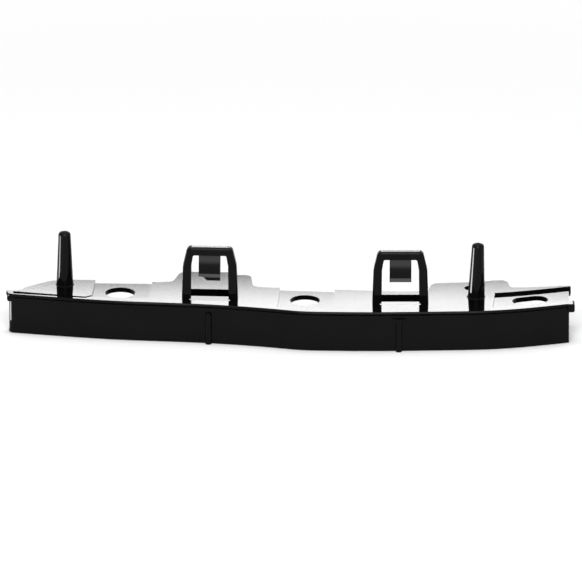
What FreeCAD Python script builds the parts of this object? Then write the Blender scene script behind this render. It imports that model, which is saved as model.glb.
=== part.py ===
import FreeCAD, Part
import math
import os

# Bumper mounting bracket: one injection-moulded strip of L section.
# X runs along the strip, Y points to its back and Z points up.
# Places below are measured from the foot of the front wall, where it is furthest forward.
# The finished part is moved so that the middle of its footprint is at the origin.

# Joined features sink into each other by the lap, and cutting tools reach past the part
lap = 0.2
past = 1.0
beyond = 60.0

# Front wall
shelf_height = 21.2
wall_thickness = 2.5
wall_draft = 0.3
foot_bevel = 0.4
foot_bead_height = 1.4
foot_bead_proud = 0.15
end_corner_radius = wall_thickness + 0.1 * wall_thickness
end_return_angle = 80.0
end_return_length = 1.5

# Plan of the wall's front face, as (along, depth) from its left end to its right end
front_points = [
    (-139.8, 26.3), (-116.0, 21.3), (-86.0, 16.1), (-56.0, 13.0), (-26.0, 8.5), (-6.0, 3.9),
    (4.0, 1.5), (16.0, 0.5), (34.0, 0.0), (74.0, 0.9), (104.0, 3.1), (124.0, 7.7), (138.7, 12.1),
]

# Lip along the top of the wall, with a narrow groove and a shallow brow below it
lip_overhang = 1.5
lip_thickness = 1.5
lip_top_radius = 0.7
lip_under_bevel = 0.4
groove_height = 0.8
groove_depth = 0.5
brow_proud = 0.2

# Blocks that thicken the two ends of the lip
left_nose_reach = 3.3
left_nose_depth = 3.4
left_nose_height = 4.2
right_nose_end = 141.5
right_nose_depth = 7.0
right_nose_height = 4.4
nose_corner = 1.1

# Shelf
shelf_thickness = 3.8
skin_thickness = 2.4
shelf_lap = 1.0

# Outline of the shelf behind the wall, from the right end round to the left, as
# (along, depth, corner radius)
shelf_outline = [
    (138.9, 13.6, 0.0),
    (138.9, 35.2, 0.0),
    (140.0, 35.3, 0.0),
    (140.0, 37.4, 1.0),
    (116.0, 34.9, 3.0),
    (109.8, 35.0, 1.8),
    (107.8, 45.5, 3.2),
    (101.0, 44.9, 4.0),
    (93.0, 42.6, 8.0),
    (70.5, 40.8, 4.5),
    (68.0, 29.4, 3.0),
    (54.0, 28.8, 20.0),
    (-15.6, 35.2, 5.0),
    (-19.5, 37.2, 2.5),
    (-20.8, 52.8, 3.5),
    (-28.0, 53.0, 3.0),
    (-32.0, 56.9, 4.0),
    (-56.0, 57.7, 4.5),
    (-59.8, 43.4, 3.5),
    (-68.0, 42.4, 2.0),
    (-73.0, 43.9, 2.0),
    (-113.0, 45.1, 6.0),
    (-122.0, 42.8, 4.0),
    (-133.2, 34.2, 2.5),
    (-136.0, 30.2, 1.5),
    (-140.0, 28.9, 0.0),
]

# Raised land at the left end of the shelf, which runs up to the left pad
land_raise_left = 0.6
land_raise_right = 0.3
land_front_left = (-139.8, 27.9)
land_front_right = (-103.7, 20.6)
land_end = (-97.5, 25.0)
land_front_corner = 1.0

# Recessed screw pads, and the screw holes in them
pad_drop = 1.4
pad_corner = 1.2
pad_front_setback = 3.9
screw_hole_radius = 7.5
left_pad_span = (-100.7, -72.0)
left_pad_yaw = 4.4
left_hole_place = (-86.2, 30.9)
middle_pad_span = (-7.5, 20.1)
middle_pad_yaw = 2.9
middle_hole_place = (6.5, 19.9)

# Open pad at the right end, with a slot and a rear rim
right_pad_start = 100.8
right_pad_drop = 1.3
right_pad_depth = 24.1
right_pad_yaw = -4.5
right_pad_skew = 1.5
slot_length = 18.3
slot_width = 11.0
slot_place = (119.3, 19.5)
slot_yaw = 17.0
rim_end_height = 4.8
rim_end_place = (133.5, 36.4)
rim_end_reach = 6.4
rim_end_thickness = 1.9

# Clip towers: an arch over a shelf window, with a spring tongue under its top bar
tower_height = 27.3
tower_depth = 4.3
tower_foot_half_width = 14.1
tower_waist_half_width = 13.5
tower_waist_height = 0.65 * tower_height
tower_top_half_width = 11.3
tower_top_corner = 2.8
tower_side_bend = 0.5 * tower_height
tower_edge_radius = 1.2
tower_back_bevel = 0.5
tower_bar = 4.1
opening_foot_half_width = 9.4
opening_waist_half_width = 9.2
opening_top_half_width = 8.3
opening_corner = 0.9
opening_side_bend = 0.2 * tower_height
tongue_width = 10.9
tongue_thickness = 1.9
tongue_bulge = 1.5
tongue_inset = 0.2
tongue_root = 0.6
barb_height = 1.5
barb_reach = 0.8
barb_back = 0.1
window_width = 20.4
window_corner = 0.8
window_front_gap = 1.7
window_headroom = 2.0
web_thickness = 2.0
web_length = 7.0
web_height = 13.0
web_toe = 1.0
left_tower = {
    "place": (-41.2, 17.6), "yaw": -3.5, "window_depth": 16.4,
    "tongue_length": 12.4, "barb_land": 1.7, "barb_trim": 3.2,
    "rib_x": -41.8, "rib_flare": 0.0,
}
right_tower = {
    "place": (54.2, 11.3), "yaw": 0.0, "window_depth": 14.8,
    "tongue_length": 11.0, "barb_land": 0.2, "barb_trim": 0.0,
    "rib_x": 53.4, "rib_flare": 1.7,
}

# Half-round ribs on the front wall below the towers
face_rib_radius = 1.6
face_rib_proud = 0.3
face_rib_drop = 0.8
face_rib_flare_height = 3.2

# Locating pins
pin_height = 28.6
pin_cap_radius = 2.2
pin_cap_dome = 0.5
pin_shoulder_radius = 3.1
pin_shoulder_drop = 1.9
pin_base_radius = 4.25
pin_root_bevel = 0.5
pin_sink = 1.0
pin_core_radius = 1.5
pin_core_top = 5.0
left_pin_place = (-114.1, 38.0)
left_pin_lean = 0.0
right_pin_place = (92.3, 21.4)
right_pin_lean = 1.6

# Small hole behind the right pin
sight_hole_radius = 3.6
sight_hole_place = (90.1, 33.9)

# Stiffening ribs in the corner between the wall and the shelf
gusset_thickness = 1.8
gusset_length = 11.0
gusset_height = 12.0
gusset_toe = 1.2
gusset_stations = [-124.0, -104.0, -65.0, -20.0, 27.0, 70.0, 92.0, 133.0]

# Underside hollows that keep the raised areas as thin as the pads:
# (centre x, centre y, length, width)
hollow_corner = 1.5
underside_hollows = [
    (-115.5, 32.5, 16.0, 7.0),
    (-38.0, 44.0, 30.0, 9.0),
    (-38.0, 53.2, 14.0, 3.5),
    (-62.5, 30.0, 7.0, 14.0),
    (-17.0, 22.0, 9.0, 16.0),
    (31.0, 17.0, 10.0, 14.0),
    (80.0, 32.0, 8.0, 10.0),
    (102.0, 38.5, 9.0, 7.0),
]


def vec(x, y, z=0.0):
    return FreeCAD.Vector(x, y, z)


def rounded_edges(corners, closed=True):
    """Edges through corners (x, y, radius), each corner rounded by its radius."""
    count = len(corners)
    starts = []
    ends = []
    arcs = []
    for index in range(count):
        x, y, radius = corners[index]
        corner = vec(x, y)
        inner = closed or 0 < index < count - 1
        if radius <= 0 or not inner:
            starts.append(corner)
            ends.append(corner)
            arcs.append(None)
            continue
        before = vec(*corners[index - 1][:2]) - corner
        after = vec(*corners[(index + 1) % count][:2]) - corner
        before.normalize()
        after.normalize()
        half = before.getAngle(after) / 2
        reach = radius / math.tan(half)
        bisector = before + after
        bisector.normalize()
        centre = corner + bisector * (radius / math.sin(half))
        start = corner + before * reach
        end = corner + after * reach
        middle = centre - bisector * radius
        starts.append(start)
        ends.append(end)
        arcs.append(Part.Arc(start, middle, end).toShape())
    edges = []
    for index in range(count if closed else count - 1):
        if arcs[index]:
            edges.append(arcs[index])
        following = (index + 1) % count
        edges.append(Part.makeLine(ends[index], starts[following]))
    return edges


def prism(edges, z_low, z_high):
    """Upright solid over a closed flat outline."""
    face = Part.Face(Part.Wire(Part.__sortEdges__(edges)))
    face.translate(vec(0, 0, z_low))
    return face.extrude(vec(0, 0, z_high - z_low))


def rounded_box(centre, length, width, yaw, corner, z_low, z_high):
    half_length = length / 2
    half_width = width / 2
    corners = [
        (-half_length, -half_width, corner),
        (half_length, -half_width, corner),
        (half_length, half_width, corner),
        (-half_length, half_width, corner),
    ]
    box = prism(rounded_edges(corners), z_low, z_high)
    box.rotate(vec(0, 0), vec(0, 0, 1), yaw)
    box.translate(vec(*centre))
    return box


def front_curve():
    curve = Part.BSplineCurve()
    curve.interpolate([vec(*point) for point in front_points])
    return curve


def front_edge(setback=0.0):
    edge = front_curve().toShape()
    edge.translate(vec(0, setback))
    return edge


def wall_depth_at(x):
    """Depth of the wall's front face at a place along the strip."""
    line = Part.makeLine(vec(x, -beyond), vec(x, 2 * beyond))
    hit = line.distToShape(front_edge())[1][0][0]
    return hit.y


def wall_slope_at(x):
    rise = wall_depth_at(x + past) - wall_depth_at(x - past)
    return math.degrees(math.atan2(rise, 2 * past))


def end_return():
    """Path of the short end wall that turns back from the wall's left end."""
    curve = front_curve()
    start = curve.value(curve.FirstParameter)
    heading = curve.tangent(curve.FirstParameter)[0]
    outward = math.degrees(math.atan2(-heading.x, heading.y))
    centre = start + vec(-heading.y, heading.x) * end_corner_radius

    def rim(turned):
        angle = math.radians(outward - turned)
        return centre + vec(math.cos(angle), math.sin(angle)) * end_corner_radius

    corner_start = rim(end_return_angle)
    arc = Part.Arc(corner_start, rim(end_return_angle / 2), start).toShape()
    angle = math.radians(outward - end_return_angle + 90)
    travel = vec(math.cos(angle), math.sin(angle))
    far_end = corner_start - travel * end_return_length
    return far_end, corner_start, travel, arc


def wall_and_lip():
    """Front wall, brow, groove and rounded lip, swept along the plan of the wall."""
    far_end, corner_start, travel, arc = end_return()
    path = Part.Wire([Part.makeLine(far_end, corner_start), arc, front_edge()])
    under_shelf = shelf_height - shelf_thickness
    lip_under = shelf_height - lip_thickness
    groove_under = lip_under - groove_height
    foot_back = wall_thickness - wall_draft
    section = [
        (-foot_bead_proud, foot_bevel, 0.0),
        (-foot_bead_proud + foot_bevel, 0.0, 0.0),
        (foot_back, 0.0, 0.0),
        (wall_thickness, shelf_height, 0.0),
        (-lip_overhang, shelf_height, lip_top_radius),
        (-lip_overhang, lip_under + lip_under_bevel, 0.0),
        (-lip_overhang + lip_under_bevel, lip_under, 0.0),
        (groove_depth, lip_under, 0.0),
        (groove_depth, groove_under, 0.0),
        (-brow_proud, groove_under, 0.0),
        (-brow_proud, under_shelf, 0.0),
        (0.0, under_shelf, 0.0),
        (0.0, foot_bead_height, 0.0),
        (-foot_bead_proud, foot_bead_height - foot_bead_proud, 0.0),
    ]
    wire = Part.Wire(Part.__sortEdges__(rounded_edges(section)))
    wire.rotate(vec(0, 0), vec(1, 0, 0), 90)
    heading = math.degrees(math.atan2(travel.y, travel.x))
    wire.rotate(vec(0, 0), vec(0, 0, 1), heading + 90)
    wire.translate(far_end)
    sweep = Part.BRepOffsetAPI.MakePipeShell(path)
    sweep.setBiNormalMode(vec(0, 0, 1))
    sweep.add(wire)
    sweep.build()
    sweep.makeSolid()
    return sweep.shape()


def shelf_prism(z_low, z_high):
    """Upright solid over the shelf's plan, from inside the wall to the back outline."""
    first = front_points[0]
    last = front_points[-1]
    corners = [(last[0], last[1] + shelf_lap, 0.0)]
    corners += shelf_outline
    corners.append((first[0], first[1] + shelf_lap, 0.0))
    edges = rounded_edges(corners, closed=False)
    edges.append(front_edge(shelf_lap))
    return prism(edges, z_low, z_high)


def shelf():
    return shelf_prism(shelf_height - shelf_thickness, shelf_height)


def nose_block(x_outer, x_inner, y_low, depth, height):
    """Block under the lip's end, its outer edges rounded."""
    corners = [
        (x_inner, shelf_height - height, 0.0),
        (x_outer, shelf_height - height, nose_corner),
        (x_outer, shelf_height, nose_corner),
        (x_inner, shelf_height, 0.0),
    ]
    face = Part.Face(Part.Wire(Part.__sortEdges__(upright_edges(corners))))
    face.translate(vec(0, y_low))
    return face.extrude(vec(0, depth))


def left_nose():
    """Block that thickens the lip where it ends at the left."""
    x_inner = front_points[0][0] + lap
    y_low = front_points[0][1] - lap
    x_outer = x_inner - left_nose_reach
    return nose_block(x_outer, x_inner, y_low, left_nose_depth, left_nose_height)


def right_nose():
    """Full-depth nose of the shelf, past the right end of the wall."""
    x_inner = front_points[-1][0] - 2 * lap
    y_low = front_points[-1][1] - lip_overhang + lap
    return nose_block(right_nose_end, x_inner, y_low, right_nose_depth, right_nose_height)


def raised_land():
    """Slightly raised, tilted land round the left pin."""
    x_left, y_left = land_front_left
    x_right, y_right = land_front_right
    x_end, y_end = land_end
    y_back = y_left + beyond
    plan = [
        (x_left, y_left, 0.0),
        (x_right, y_right, land_front_corner),
        (x_end, y_end, 0.0),
        (x_end, y_back, 0.0),
        (x_left, y_back, 0.0),
    ]
    z_low = shelf_height - past
    side = [
        vec(x_left, 0, z_low),
        vec(x_end, 0, z_low),
        vec(x_end, 0, shelf_height + land_raise_right),
        vec(x_left, 0, shelf_height + land_raise_left),
        vec(x_left, 0, z_low),
    ]
    tilted = Part.Face(Part.makePolygon(side)).extrude(vec(0, y_back + past))
    tall = shelf_height + land_raise_left + past
    return prism(rounded_edges(plan), z_low, tall).common(tilted).common(shelf_prism(z_low, tall))


def screw_pad(span, yaw, drop):
    """Tool that sinks one pad from the front strip to the shelf's open back edge."""
    x_low, x_high = span
    middle = (x_low + x_high) / 2
    front = wall_depth_at(middle) + pad_front_setback
    pad = rounded_box(
        (0, beyond / 2), x_high - x_low, beyond, 0.0, pad_corner,
        shelf_height - drop, shelf_height + beyond,
    )
    pad.rotate(vec(0, 0), vec(0, 0, 1), -yaw)
    pad.translate(vec(middle, front))
    return pad


def right_pad():
    """Tool that sinks the right pad between the front strip and the rear rim."""
    first = front_points[0]
    last = front_points[-1]
    far = last[0] + beyond
    strip = [front_edge(pad_front_setback), front_edge(right_pad_depth)]
    near_front = vec(first[0], first[1] + pad_front_setback)
    near_back = vec(first[0], first[1] + right_pad_depth)
    strip.append(Part.makeLine(near_front, near_back))
    past_end = [
        vec(last[0], last[1] + pad_front_setback),
        vec(far, last[1] + pad_front_setback + right_pad_skew),
        vec(far, last[1] + right_pad_depth + right_pad_skew),
        vec(last[0], last[1] + right_pad_depth),
    ]
    for index in range(3):
        strip.append(Part.makeLine(past_end[index], past_end[index + 1]))
    z_low = shelf_height - right_pad_drop
    band = prism(strip, z_low, shelf_height + beyond)
    limit = Part.makeBox(2 * beyond, 2 * beyond, 2 * beyond, vec(0, -beyond, z_low - past))
    limit.rotate(vec(0, 0), vec(0, 0, 1), right_pad_yaw)
    limit.translate(vec(right_pad_start, wall_depth_at(right_pad_start) + right_pad_depth / 2))
    return band.common(limit)


def rim_end():
    """Deeper end of the rear rim, which turns down at the right end."""
    x_low, y_middle = rim_end_place
    y_low = y_middle - rim_end_thickness / 2
    low = shelf_height - rim_end_height
    return Part.makeBox(rim_end_reach, rim_end_thickness, rim_end_height, vec(x_low, y_low, low))


def round_hole(place, radius):
    low = shelf_height - shelf_thickness - past
    depth = shelf_thickness + 2 * past
    return Part.makeCylinder(radius, depth, vec(place[0], place[1], low))


def slot():
    return rounded_box(
        slot_place, slot_length, slot_width, slot_yaw, 0.499 * slot_width,
        shelf_height - shelf_thickness - past, shelf_height + past,
    )


def lean_and_place(solid, place, seat_height, lean):
    solid.rotate(vec(0, 0), vec(0, 1, 0), lean)
    solid.translate(vec(place[0], place[1], seat_height))
    return solid


def pin(place, seat_height, lean):
    """Tapered locating pin with a domed cap, a round shoulder and a bevelled root."""
    shoulder = pin_height - pin_shoulder_drop
    cap_height = pin_height - pin_cap_dome
    dome_radius = (pin_cap_radius ** 2 + pin_cap_dome ** 2) / (2 * pin_cap_dome)
    half_cap = pin_cap_radius / 2
    half_drop = dome_radius - math.sqrt(dome_radius ** 2 - half_cap ** 2)
    bulge_radius = pin_cap_radius + 0.62 * (pin_shoulder_radius - pin_cap_radius)
    bulge_height = cap_height - 0.3 * (cap_height - shoulder)
    root_start = vec(pin_base_radius, 0, pin_root_bevel)
    root_end = vec(pin_base_radius + pin_root_bevel, 0, 0)
    top = vec(0, 0, pin_height)
    cap_edge = vec(pin_cap_radius, 0, cap_height)
    shoulder_edge = vec(pin_shoulder_radius, 0, shoulder)
    bulge = vec(bulge_radius, 0, bulge_height)
    foot = vec(0, 0, -pin_sink)
    edges = [
        Part.Arc(top, vec(half_cap, 0, pin_height - half_drop), cap_edge).toShape(),
        Part.Arc(cap_edge, bulge, shoulder_edge).toShape(),
        Part.makeLine(shoulder_edge, root_start),
        Part.makeLine(root_start, root_end),
        Part.makeLine(root_end, vec(root_end.x, 0, -pin_sink)),
        Part.makeLine(vec(root_end.x, 0, -pin_sink), foot),
        Part.makeLine(foot, top),
    ]
    solid = Part.Face(Part.Wire(edges)).revolve(vec(0, 0, 0), vec(0, 0, 1), 360)
    return lean_and_place(solid, place, seat_height, lean)


def pin_core(place, seat_height, lean):
    """Blind hollow up the middle of a pin, open underneath."""
    low = shelf_height - shelf_thickness - past - seat_height
    high = pin_height - pin_core_top
    core = Part.makeCylinder(pin_core_radius, high - low, vec(0, 0, low))
    return lean_and_place(core, place, seat_height, lean)


def upright_edges(corners):
    """Closed outline (x, z, radius) stood up in the XZ plane."""
    edges = rounded_edges(corners)
    for edge in edges:
        edge.rotate(vec(0, 0), vec(1, 0, 0), 90)
    return edges


def rim_edges(body, depth):
    """Edges of an upright plate's face at one depth, apart from those under its feet."""
    found = []
    for edge in body.Edges:
        box = edge.BoundBox
        if abs(box.YMin - depth) < lap / 2 and box.YLength < lap and box.ZMax > 0:
            found.append(edge)
    return found


def arch():
    """Arch of a clip tower, its front face at y = 0 and its feet at z = 0."""
    foot = -2 * lap
    outline = [
        (-tower_foot_half_width, foot, 0.0),
        (tower_foot_half_width, foot, 0.0),
        (tower_waist_half_width, tower_waist_height, tower_side_bend),
        (tower_top_half_width, tower_height, tower_top_corner),
        (-tower_top_half_width, tower_height, tower_top_corner),
        (-tower_waist_half_width, tower_waist_height, tower_side_bend),
    ]
    opening = [
        (-opening_foot_half_width, foot - past, 0.0),
        (opening_foot_half_width, foot - past, 0.0),
        (opening_waist_half_width, tower_waist_height, opening_side_bend),
        (opening_top_half_width, tower_height - tower_bar, opening_corner),
        (-opening_top_half_width, tower_height - tower_bar, opening_corner),
        (-opening_waist_half_width, tower_waist_height, opening_side_bend),
    ]
    outer = Part.Face(Part.Wire(Part.__sortEdges__(upright_edges(outline))))
    body = outer.extrude(vec(0, tower_depth))
    body = body.makeFillet(tower_edge_radius, rim_edges(body, 0))
    body = body.makeChamfer(tower_back_bevel, rim_edges(body, tower_depth))
    inner = Part.Face(Part.Wire(Part.__sortEdges__(upright_edges(opening))))
    inner.translate(vec(0, -past))
    return body.cut(inner.extrude(vec(0, tower_depth + 2 * past)))


def tongue(tower):
    """Spring tongue that hangs from the top bar and ends in a barb."""
    top = tower_height - tower_bar
    tip = top - tower["tongue_length"]
    barb_low = tip + tower["barb_land"]
    barb_top = barb_low + barb_height
    face_low = tongue_inset - tongue_bulge
    face_top = vec(0, tongue_inset, top)
    face_middle = vec(0, tongue_inset - tongue_bulge * 0.72, (top + barb_top) / 2)
    face_end = vec(0, face_low, barb_top)
    barb_edge = vec(0, face_low - barb_reach, barb_low)
    barb_foot = vec(0, face_low - barb_reach + barb_back, tip)
    back_foot = vec(0, face_low + tongue_thickness, tip)
    back_middle = face_middle + vec(0, tongue_thickness, 0)
    back_top = face_top + vec(0, tongue_thickness + tongue_root, 0)
    bar_back = back_top + vec(0, 0, past)
    bar_front = vec(0, tongue_root, top + past)
    bar_edge = vec(0, tongue_root, top + 2 * lap)
    edges = [
        Part.makeLine(bar_front, bar_edge),
        Part.makeLine(bar_edge, face_top),
        Part.Arc(face_top, face_middle, face_end).toShape(),
        Part.makeLine(face_end, barb_edge),
        Part.makeLine(barb_edge, barb_foot),
        Part.makeLine(barb_foot, back_foot),
        Part.Arc(back_foot, back_middle, back_top).toShape(),
        Part.makeLine(back_top, bar_back),
        Part.makeLine(bar_back, bar_front),
    ]
    face = Part.Face(Part.Wire(edges))
    face.translate(vec(-tongue_width / 2, 0))
    body = face.extrude(vec(tongue_width, 0))
    if tower["barb_trim"] > 0:
        body = body.cut(barb_corner(tower, tip))
    return body


def barb_corner(tower, tip):
    """Tool that trims one lower corner of the barb at a slant."""
    left = -tongue_width / 2 - past
    trim = left + past + tower["barb_trim"]
    high = tip + tower["barb_land"] + lap
    low = tip - past
    wedge = [
        vec(left, -beyond, low),
        vec(trim + 2 * past, -beyond, low),
        vec(trim + past, -beyond, tip),
        vec(trim - past, -beyond, high),
        vec(left, -beyond, high),
        vec(left, -beyond, low),
    ]
    return Part.Face(Part.makePolygon(wedge)).extrude(vec(0, 2 * beyond))


def tower_webs():
    """Triangular webs behind the two legs."""
    webs = []
    front = tower_depth - tower_edge_radius - lap
    back = tower_depth + web_length
    leg_middle = (tower_foot_half_width + opening_foot_half_width) / 2
    for side in (-1, 1):
        x_low = side * leg_middle - web_thickness / 2
        triangle = [
            vec(x_low, front, -lap),
            vec(x_low, back, -lap),
            vec(x_low, back, web_toe),
            vec(x_low, front, web_height),
            vec(x_low, front, -lap),
        ]
        webs.append(Part.Face(Part.makePolygon(triangle)).extrude(vec(web_thickness, 0)))
    return webs


def stand_tower(solid, tower):
    solid.rotate(vec(0, 0), vec(0, 0, 1), tower["yaw"])
    solid.translate(vec(tower["place"][0], tower["place"][1], shelf_height))
    return solid


def clip_tower(tower):
    body = arch().fuse([tongue(tower)] + tower_webs())
    return stand_tower(body, tower)


def tower_window(tower):
    """Window through the shelf under a tower, where the mould reaches the tongue."""
    depth = tower["window_depth"]
    middle = (0, depth / 2 - window_front_gap)
    low = -shelf_thickness - past
    window = rounded_box(middle, window_width, depth, 0.0, window_corner, low, 0.0)
    way_up = rounded_box(
        middle, 2 * opening_foot_half_width, depth, 0.0, window_corner, low, window_headroom
    )
    return stand_tower(window.fuse(way_up), tower)


def face_rib(tower):
    """Half-round rib up the front wall, below a tower."""
    x = tower["rib_x"]
    y = wall_depth_at(x) - face_rib_proud
    top = shelf_height - shelf_thickness
    if tower["rib_flare"] > 0:
        rod = Part.makeCylinder(face_rib_radius, top, vec(x, y))
        rod = rod.fuse(rib_flare(x, y, top, tower["rib_flare"]))
    else:
        rod = Part.makeCylinder(face_rib_radius, top - face_rib_drop, vec(x, y))
        rod = rod.makeChamfer(face_rib_radius / 2, [rod.Edges[0]])
    width = 4 * face_rib_radius
    y_back = y + face_rib_proud + wall_thickness / 2
    behind = Part.makeBox(width, width, top + 2 * past, vec(x - width / 2, y_back, -past))
    return rod.cut(behind)


def rib_flare(x, y, top, reach):
    """Fillets that widen the top of a rib where it meets the lip."""
    low = top - face_rib_flare_height
    wide = face_rib_radius + reach
    bend = 0.75 * face_rib_radius
    left_bend = vec(x - face_rib_radius - 0.3 * reach, 0, top - 0.4 * face_rib_flare_height)
    right_bend = vec(x + face_rib_radius + 0.3 * reach, 0, top - 0.4 * face_rib_flare_height)
    edges = [
        Part.Arc(vec(x - wide, 0, top), left_bend, vec(x - bend, 0, low)).toShape(),
        Part.makeLine(vec(x - bend, 0, low), vec(x + bend, 0, low)),
        Part.Arc(vec(x + bend, 0, low), right_bend, vec(x + wide, 0, top)).toShape(),
        Part.makeLine(vec(x + wide, 0, top), vec(x - wide, 0, top)),
    ]
    face = Part.Face(Part.Wire(edges))
    face.translate(vec(0, y - face_rib_radius / 2))
    return face.extrude(vec(0, face_rib_radius))


def gusset(x):
    """Triangular rib in the corner between wall and shelf."""
    y = wall_depth_at(x) + wall_thickness - wall_draft - 2 * lap
    top = shelf_height - shelf_thickness + lap
    triangle = [
        vec(x, y, top),
        vec(x, y + gusset_length, top),
        vec(x, y + gusset_length, top - gusset_toe),
        vec(x, y, top - gusset_height),
        vec(x, y, top),
    ]
    plate = Part.Face(Part.makePolygon(triangle)).extrude(vec(gusset_thickness, 0))
    plate.translate(vec(-gusset_thickness / 2, 0))
    return plate


def underside_hollow(x, y, length, width):
    low = shelf_height - shelf_thickness - past
    high = shelf_height - skin_thickness
    return rounded_box((x, y), length, width, wall_slope_at(x), hollow_corner, low, high)


def bracket_body():
    base = shelf().fuse([wall_and_lip(), left_nose(), right_nose(), raised_land(), rim_end()])
    base = base.removeSplitter()
    cuts = [
        screw_pad(left_pad_span, left_pad_yaw, pad_drop),
        screw_pad(middle_pad_span, middle_pad_yaw, pad_drop),
        right_pad(),
    ]
    for hollow in underside_hollows:
        cuts.append(underside_hollow(*hollow))
    base = base.cut(cuts)
    left_seat = shelf_height + land_raise_right
    right_seat = shelf_height
    additions = [
        pin(left_pin_place, left_seat, left_pin_lean),
        pin(right_pin_place, right_seat, right_pin_lean),
    ]
    for station in gusset_stations:
        additions.append(gusset(station))
    for tower in (left_tower, right_tower):
        additions.append(clip_tower(tower))
        additions.append(face_rib(tower))
    base = base.fuse(additions)
    openings = [
        round_hole(left_hole_place, screw_hole_radius),
        round_hole(middle_hole_place, screw_hole_radius),
        round_hole(sight_hole_place, sight_hole_radius),
        slot(),
        tower_window(left_tower),
        tower_window(right_tower),
        pin_core(left_pin_place, left_seat, left_pin_lean),
        pin_core(right_pin_place, right_seat, right_pin_lean),
    ]
    return base.cut(openings).removeSplitter()


os.makedirs("parts", exist_ok=True)
body = bracket_body()
box = body.optimalBoundingBox()
footprint_middle = vec(box.Center.x, box.Center.y)
body.translate(footprint_middle * -1)
body.exportStep("parts/bracket_body.step")
print("solids", len(body.Solids), "valid", body.isValid(), "volume", round(body.Volume))
print("size", round(box.XLength, 2), round(box.YLength, 2), round(box.ZLength, 2))
print("footprint middle", round(footprint_middle.x, 3), round(footprint_middle.y, 3))
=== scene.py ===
import math
import bpy
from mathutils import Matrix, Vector


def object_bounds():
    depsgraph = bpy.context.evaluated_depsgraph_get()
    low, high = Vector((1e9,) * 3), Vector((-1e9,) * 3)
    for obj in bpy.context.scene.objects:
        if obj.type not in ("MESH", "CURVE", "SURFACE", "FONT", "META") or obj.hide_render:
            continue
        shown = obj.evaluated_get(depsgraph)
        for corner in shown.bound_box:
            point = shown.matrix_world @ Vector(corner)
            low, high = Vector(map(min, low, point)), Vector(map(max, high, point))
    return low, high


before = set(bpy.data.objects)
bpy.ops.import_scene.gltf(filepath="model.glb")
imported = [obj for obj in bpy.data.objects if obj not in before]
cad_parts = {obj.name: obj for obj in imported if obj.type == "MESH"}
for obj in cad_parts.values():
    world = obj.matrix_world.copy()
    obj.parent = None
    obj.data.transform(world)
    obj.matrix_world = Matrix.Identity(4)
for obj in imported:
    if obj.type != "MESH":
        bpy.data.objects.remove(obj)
cad_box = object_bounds()

MM = 0.001

# Camera, at the photograph's viewing angle
CAMERA_ELEVATION = math.radians(20.3)
CAMERA_DISTANCE = 6.0
CAMERA_FAR_CLIP = 50.0
AIM_X = 0.48 * MM
AIM_HEIGHT = 21.82 * MM
SENSOR_WIDTH = 36.0
IMAGE_PIXELS = 582
# The photograph's scale, which holds at the front wall's foot, nearer than the aim point
PIXELS_PER_METRE = 2000.0
FOOT_IN_FRONT = 18.4 * MM

# Plastic
PLASTIC_IOR = 1.18
DARK_TONE = (0.0010, 0.0010, 0.0011, 1.0)
PALE_TONE = (0.0028, 0.0028, 0.0030, 1.0)
POLISH_RANGE = (0.04, 0.06)
GRAIN_STRENGTH = 0.04
GRAIN_DEPTH = 0.05 * MM

# Floor: matt, and plain white for the camera beyond the fade
FLOOR_SIZE = 8.0
FLOOR_COLOUR = (0.90, 0.90, 0.90, 1.0)
FLOOR_ROUGHNESS_RANGE = (0.8, 0.9)
FADE_START = 0.22
FADE_END = 0.60

# Light
WORLD_FILL = 0.55
OBJECT_MIDDLE = (0.0, 0.0, 0.02)
STRIP_SPREAD = math.radians(60.0)

body = bpy.data.objects["bracket_body"]


def new_material(name):
    material = bpy.data.materials.new(name)
    material.use_nodes = True
    nodes = material.node_tree.nodes
    return material, nodes, material.node_tree.links, nodes["Principled BSDF"]


def noise(nodes, links, coordinates, scale, detail, roughness=0.5):
    node = nodes.new("ShaderNodeTexNoise")
    node.inputs["Scale"].default_value = scale
    node.inputs["Detail"].default_value = detail
    node.inputs["Roughness"].default_value = roughness
    links.new(coordinates, node.inputs["Vector"])
    return node.outputs["Fac"]


def map_range(nodes, links, value, low, high):
    """Value from 0 to 1, spread over a range."""
    node = nodes.new("ShaderNodeMapRange")
    node.inputs["To Min"].default_value = low
    node.inputs["To Max"].default_value = high
    links.new(value, node.inputs["Value"])
    return node.outputs["Result"]


def smooth_step(nodes, links, value, start, end):
    """0 below the start, 1 beyond the end, and a smooth rise between them."""
    node = nodes.new("ShaderNodeMapRange")
    node.interpolation_type = "SMOOTHSTEP"
    node.inputs["From Min"].default_value = start
    node.inputs["From Max"].default_value = end
    links.new(value, node.inputs["Value"])
    return node.outputs["Result"]


def combine(nodes, links, operation, first, second):
    """Math node on two sockets."""
    node = nodes.new("ShaderNodeMath")
    node.operation = operation
    links.new(first, node.inputs[0])
    links.new(second, node.inputs[1])
    return node.outputs[0]


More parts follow.
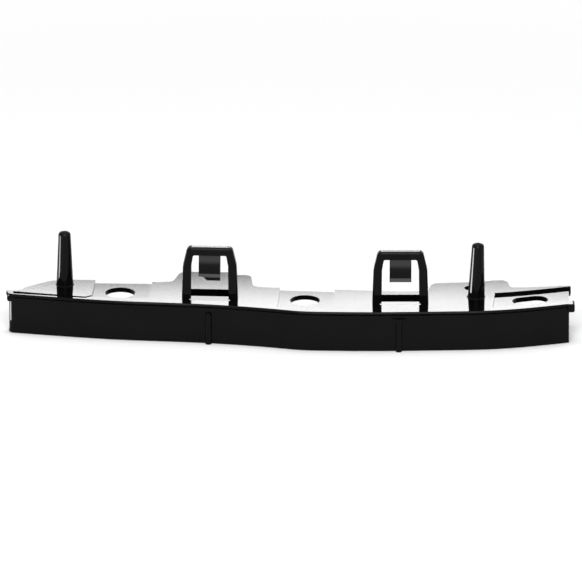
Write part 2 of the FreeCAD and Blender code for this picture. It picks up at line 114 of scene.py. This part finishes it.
def moulded_plastic():
    """Black moulded plastic: polished, with a trace of grain and flow marks."""
    material, nodes, links, shader = new_material("black_moulded_plastic")
    place = nodes.new("ShaderNodeTexCoord").outputs["Object"]
    shader.inputs["IOR"].default_value = PLASTIC_IOR

    tone = nodes.new("ShaderNodeValToRGB")
    tone.color_ramp.elements[0].color = DARK_TONE
    tone.color_ramp.elements[1].color = PALE_TONE
    links.new(noise(nodes, links, place, scale=60.0, detail=3.0), tone.inputs["Fac"])
    links.new(tone.outputs["Color"], shader.inputs["Base Color"])

    flow_marks = noise(nodes, links, place, scale=35.0, detail=4.0, roughness=0.6)
    polish = map_range(nodes, links, flow_marks, *POLISH_RANGE)
    links.new(polish, shader.inputs["Roughness"])

    grain = nodes.new("ShaderNodeBump")
    grain.inputs["Strength"].default_value = GRAIN_STRENGTH
    grain.inputs["Distance"].default_value = GRAIN_DEPTH
    links.new(noise(nodes, links, place, scale=2600.0, detail=2.0), grain.inputs["Height"])
    links.new(grain.outputs["Normal"], shader.inputs["Normal"])
    return material


def fade_to_white(nodes, links, place, shader):
    """Near the origin the shader, and far from it plain white for the camera."""
    distance = nodes.new("ShaderNodeVectorMath")
    distance.operation = "LENGTH"
    links.new(place, distance.inputs[0])
    far = smooth_step(nodes, links, distance.outputs["Value"], FADE_START, FADE_END)
    is_camera_ray = nodes.new("ShaderNodeLightPath").outputs["Is Camera Ray"]
    white = nodes.new("ShaderNodeEmission")
    blend = nodes.new("ShaderNodeMixShader")
    links.new(combine(nodes, links, "MULTIPLY", far, is_camera_ray), blend.inputs["Fac"])
    links.new(shader.outputs[0], blend.inputs[1])
    links.new(white.outputs[0], blend.inputs[2])
    links.new(blend.outputs[0], nodes["Material Output"].inputs["Surface"])


def floor_material():
    """Matt pale floor that keeps the object's shadow."""
    material, nodes, links, shader = new_material("studio_floor")
    place = nodes.new("ShaderNodeTexCoord").outputs["Object"]
    shader.inputs["Base Color"].default_value = FLOOR_COLOUR
    shader.inputs["Specular IOR Level"].default_value = 0.0
    patches = noise(nodes, links, place, scale=12.0, detail=2.0)
    rough = map_range(nodes, links, patches, *FLOOR_ROUGHNESS_RANGE)
    links.new(rough, shader.inputs["Roughness"])
    fade_to_white(nodes, links, place, shader)
    return material


def make_floor():
    floor_height = cad_box[0][2]
    bpy.ops.mesh.primitive_plane_add(size=FLOOR_SIZE, location=(0.0, 0.0, floor_height))
    floor = bpy.context.object
    floor.name = "studio_floor"
    floor.data.materials.append(floor_material())


def make_world():
    """Even fill for diffuse light, and plain white where it is seen or mirrored."""
    world = bpy.data.worlds.new("studio_world")
    world.use_nodes = True
    bpy.context.scene.world = world
    nodes = world.node_tree.nodes
    links = world.node_tree.links
    background = nodes["Background"]
    background.inputs["Color"].default_value = (1.0, 1.0, 1.0, 1.0)
    ray = nodes.new("ShaderNodeLightPath").outputs
    seen = combine(nodes, links, "ADD", ray["Is Camera Ray"], ray["Is Glossy Ray"])
    seen = combine(nodes, links, "ADD", seen, ray["Is Transmission Ray"])
    strength = map_range(nodes, links, seen, WORLD_FILL, 1.0)
    links.new(strength, background.inputs["Strength"])


def fade_long_edges(light):
    """Dim a light's face smoothly from its middle line to nothing at its long edges."""
    light.use_nodes = True
    nodes = light.node_tree.nodes
    links = light.node_tree.links
    split = nodes.new("ShaderNodeSeparateXYZ")
    links.new(nodes.new("ShaderNodeNewGeometry").outputs["Parametric"], split.inputs[0])
    from_edge = nodes.new("ShaderNodeMath")
    from_edge.operation = "PINGPONG"
    from_edge.inputs[1].default_value = 0.5
    links.new(split.outputs["Y"], from_edge.inputs[0])
    strength = smooth_step(nodes, links, from_edge.outputs[0], 0.0, 0.5)
    links.new(strength, nodes["Emission"].inputs["Strength"])


def area_light(name, centre, target, width, height, brightness):
    """Area light that shows at the given brightness in a mirror, hidden from the camera."""
    light = bpy.data.lights.new(name, "AREA")
    light.shape = "RECTANGLE"
    light.size = width
    light.size_y = height
    light.energy = brightness * width * height * 4.0
    holder = bpy.data.objects.new(name, light)
    holder.visible_camera = False
    bpy.context.collection.objects.link(holder)
    holder.location = centre
    direction = Vector(target) - Vector(centre)
    holder.rotation_euler = direction.to_track_quat("-Z", "Y").to_euler()
    return light


def softbox(name, centre, width, height, brightness):
    """Large light on the object, with faded edges."""
    fade_long_edges(area_light(name, centre, OBJECT_MIDDLE, width, height, brightness))


def strip_light(name, centre, target, width, height, brightness):
    """Small light beside a pin, turned away from the rest of the object."""
    area_light(name, centre, target, width, height, brightness).spread = STRIP_SPREAD


def make_lights():
    softbox("back_softbox", (0.0, 1.55, 0.606), width=1.2, height=0.05, brightness=12.2)
    softbox("top_softbox", (0.0, 0.0, 1.40), width=0.7, height=0.9, brightness=5.0)
    softbox("high_front_softbox", (0.0, -1.29, 0.96), width=1.0, height=0.95, brightness=9.0)
    softbox("low_front_softbox", (0.0, -1.60, 0.24), width=0.9, height=0.60, brightness=5.0)
    strip_light(
        "left_pin_strip",
        centre=(-0.160, 0.003, 0.0215),
        target=(-0.110, 0.003, 0.0395),
        width=0.018,
        height=0.042,
        brightness=3.6,
    )
    strip_light(
        "right_pin_strip",
        centre=(0.0745, -0.0105, 0.031),
        target=(0.0941, -0.0065, 0.0385),
        width=0.007,
        height=0.026,
        brightness=6.5,
    )


def make_camera():
    camera = bpy.data.cameras.new("camera")
    camera.sensor_width = SENSOR_WIDTH
    foot_distance = CAMERA_DISTANCE - FOOT_IN_FRONT
    camera.lens = SENSOR_WIDTH * foot_distance * PIXELS_PER_METRE / IMAGE_PIXELS
    camera.clip_end = CAMERA_FAR_CLIP
    holder = bpy.data.objects.new("camera", camera)
    bpy.context.collection.objects.link(holder)
    aim = Vector((AIM_X, 0.0, AIM_HEIGHT))
    back = Vector((0.0, -math.cos(CAMERA_ELEVATION), math.sin(CAMERA_ELEVATION)))
    holder.location = aim + back * CAMERA_DISTANCE
    holder.rotation_euler = (math.radians(90.0) - CAMERA_ELEVATION, 0.0, 0.0)
    bpy.context.scene.camera = holder


def dress_body():
    plastic = moulded_plastic()
    for slot in body.material_slots:
        slot.material = plastic


make_camera()
make_world()
make_lights()
make_floor()
dress_body()
bpy.context.scene.view_settings.view_transform = "Standard"
